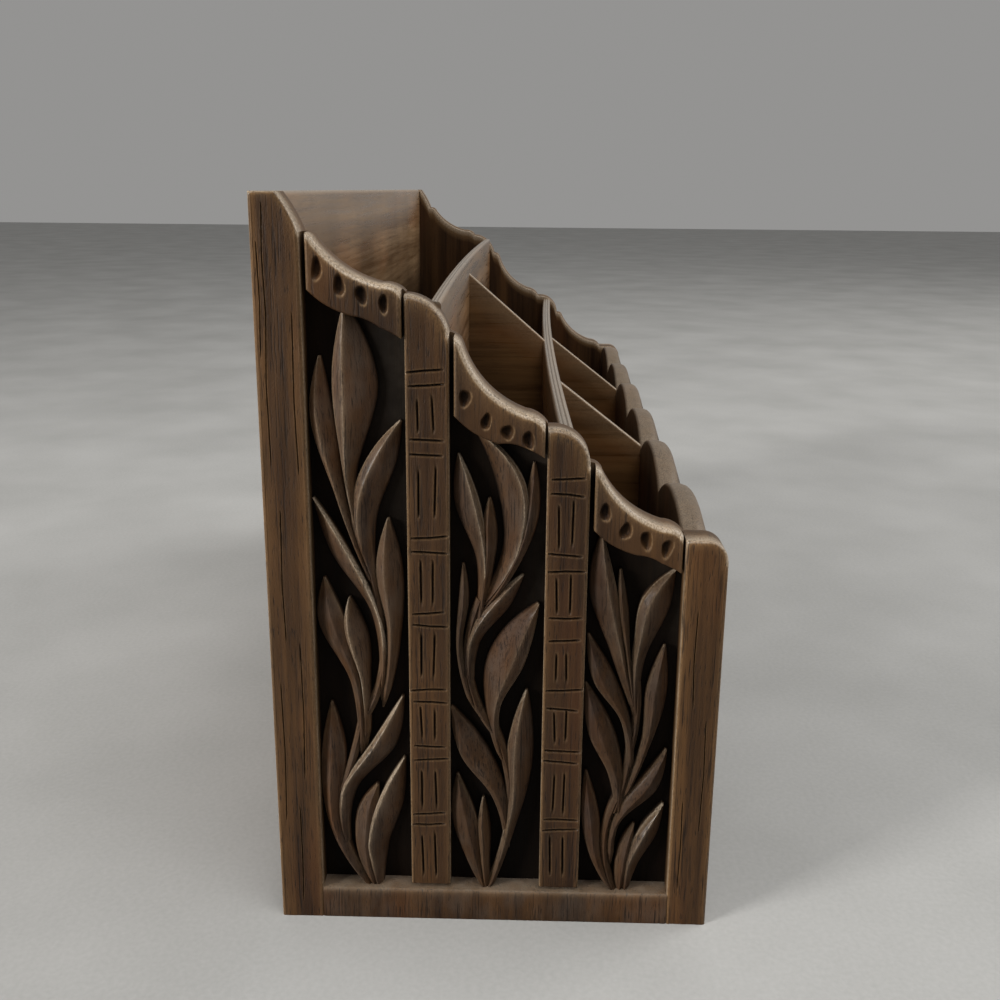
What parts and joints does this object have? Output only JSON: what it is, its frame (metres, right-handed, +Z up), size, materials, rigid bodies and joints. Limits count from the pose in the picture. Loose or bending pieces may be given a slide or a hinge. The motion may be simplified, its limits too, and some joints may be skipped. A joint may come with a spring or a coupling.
{
  "type": "letter holder",
  "caption": "Free-standing wooden desk letter holder with a tall back, stepped leaf-carved ends, a scalloped front and open compartments for envelopes and cards.",
  "frame": {"origin": "on the surface it stands on, under the middle of the holder", "axes": "+Z up, -Y towards the scalloped front, +X along the length to the right as seen from the front"},
  "size_m": [0.266, 0.084, 0.1395],
  "materials": {
    "carved_wood": "dark waxed, open grain",
    "panel_wood": "brown, smooth satin"
  },
  "bodies": {
    "root": {"back_panel": "panel_wood", "base_board": "panel_wood", "bottom_rail_left": "carved_wood", "bottom_rail_right": "carved_wood", "centre_partition": "panel_wood", "end_board_left": "carved_wood", "end_board_right": "carved_wood", "front_bamboo_post_left": "carved_wood", "front_bamboo_post_right": "carved_wood", "front_cap_left": "carved_wood", "front_cap_right": "carved_wood", "front_divider": "panel_wood", "front_leaf_spray_left": "carved_wood", "front_leaf_spray_right": "carved_wood", "front_panel": "carved_wood", "front_panel_spray_1": "carved_wood", "front_panel_spray_2": "carved_wood", "front_panel_spray_3": "carved_wood", "front_panel_spray_4": "carved_wood", "front_panel_spray_5": "carved_wood", "front_panel_spray_6": "carved_wood", "front_partition_left": "panel_wood", "front_partition_right": "panel_wood", "front_stile_left": "carved_wood", "front_stile_right": "carved_wood", "middle_cap_left": "carved_wood", "middle_cap_right": "carved_wood", "middle_leaf_spray_left": "carved_wood", "middle_leaf_spray_right": "carved_wood", "rear_bamboo_post_left": "carved_wood", "rear_bamboo_post_right": "carved_wood", "rear_cap_left": "carved_wood", "rear_cap_right": "carved_wood", "rear_divider": "panel_wood", "rear_leaf_spray_left": "carved_wood", "rear_leaf_spray_right": "carved_wood", "rear_stile_left": "carved_wood", "rear_stile_right": "carved_wood"}
  },
  "joints": []
}
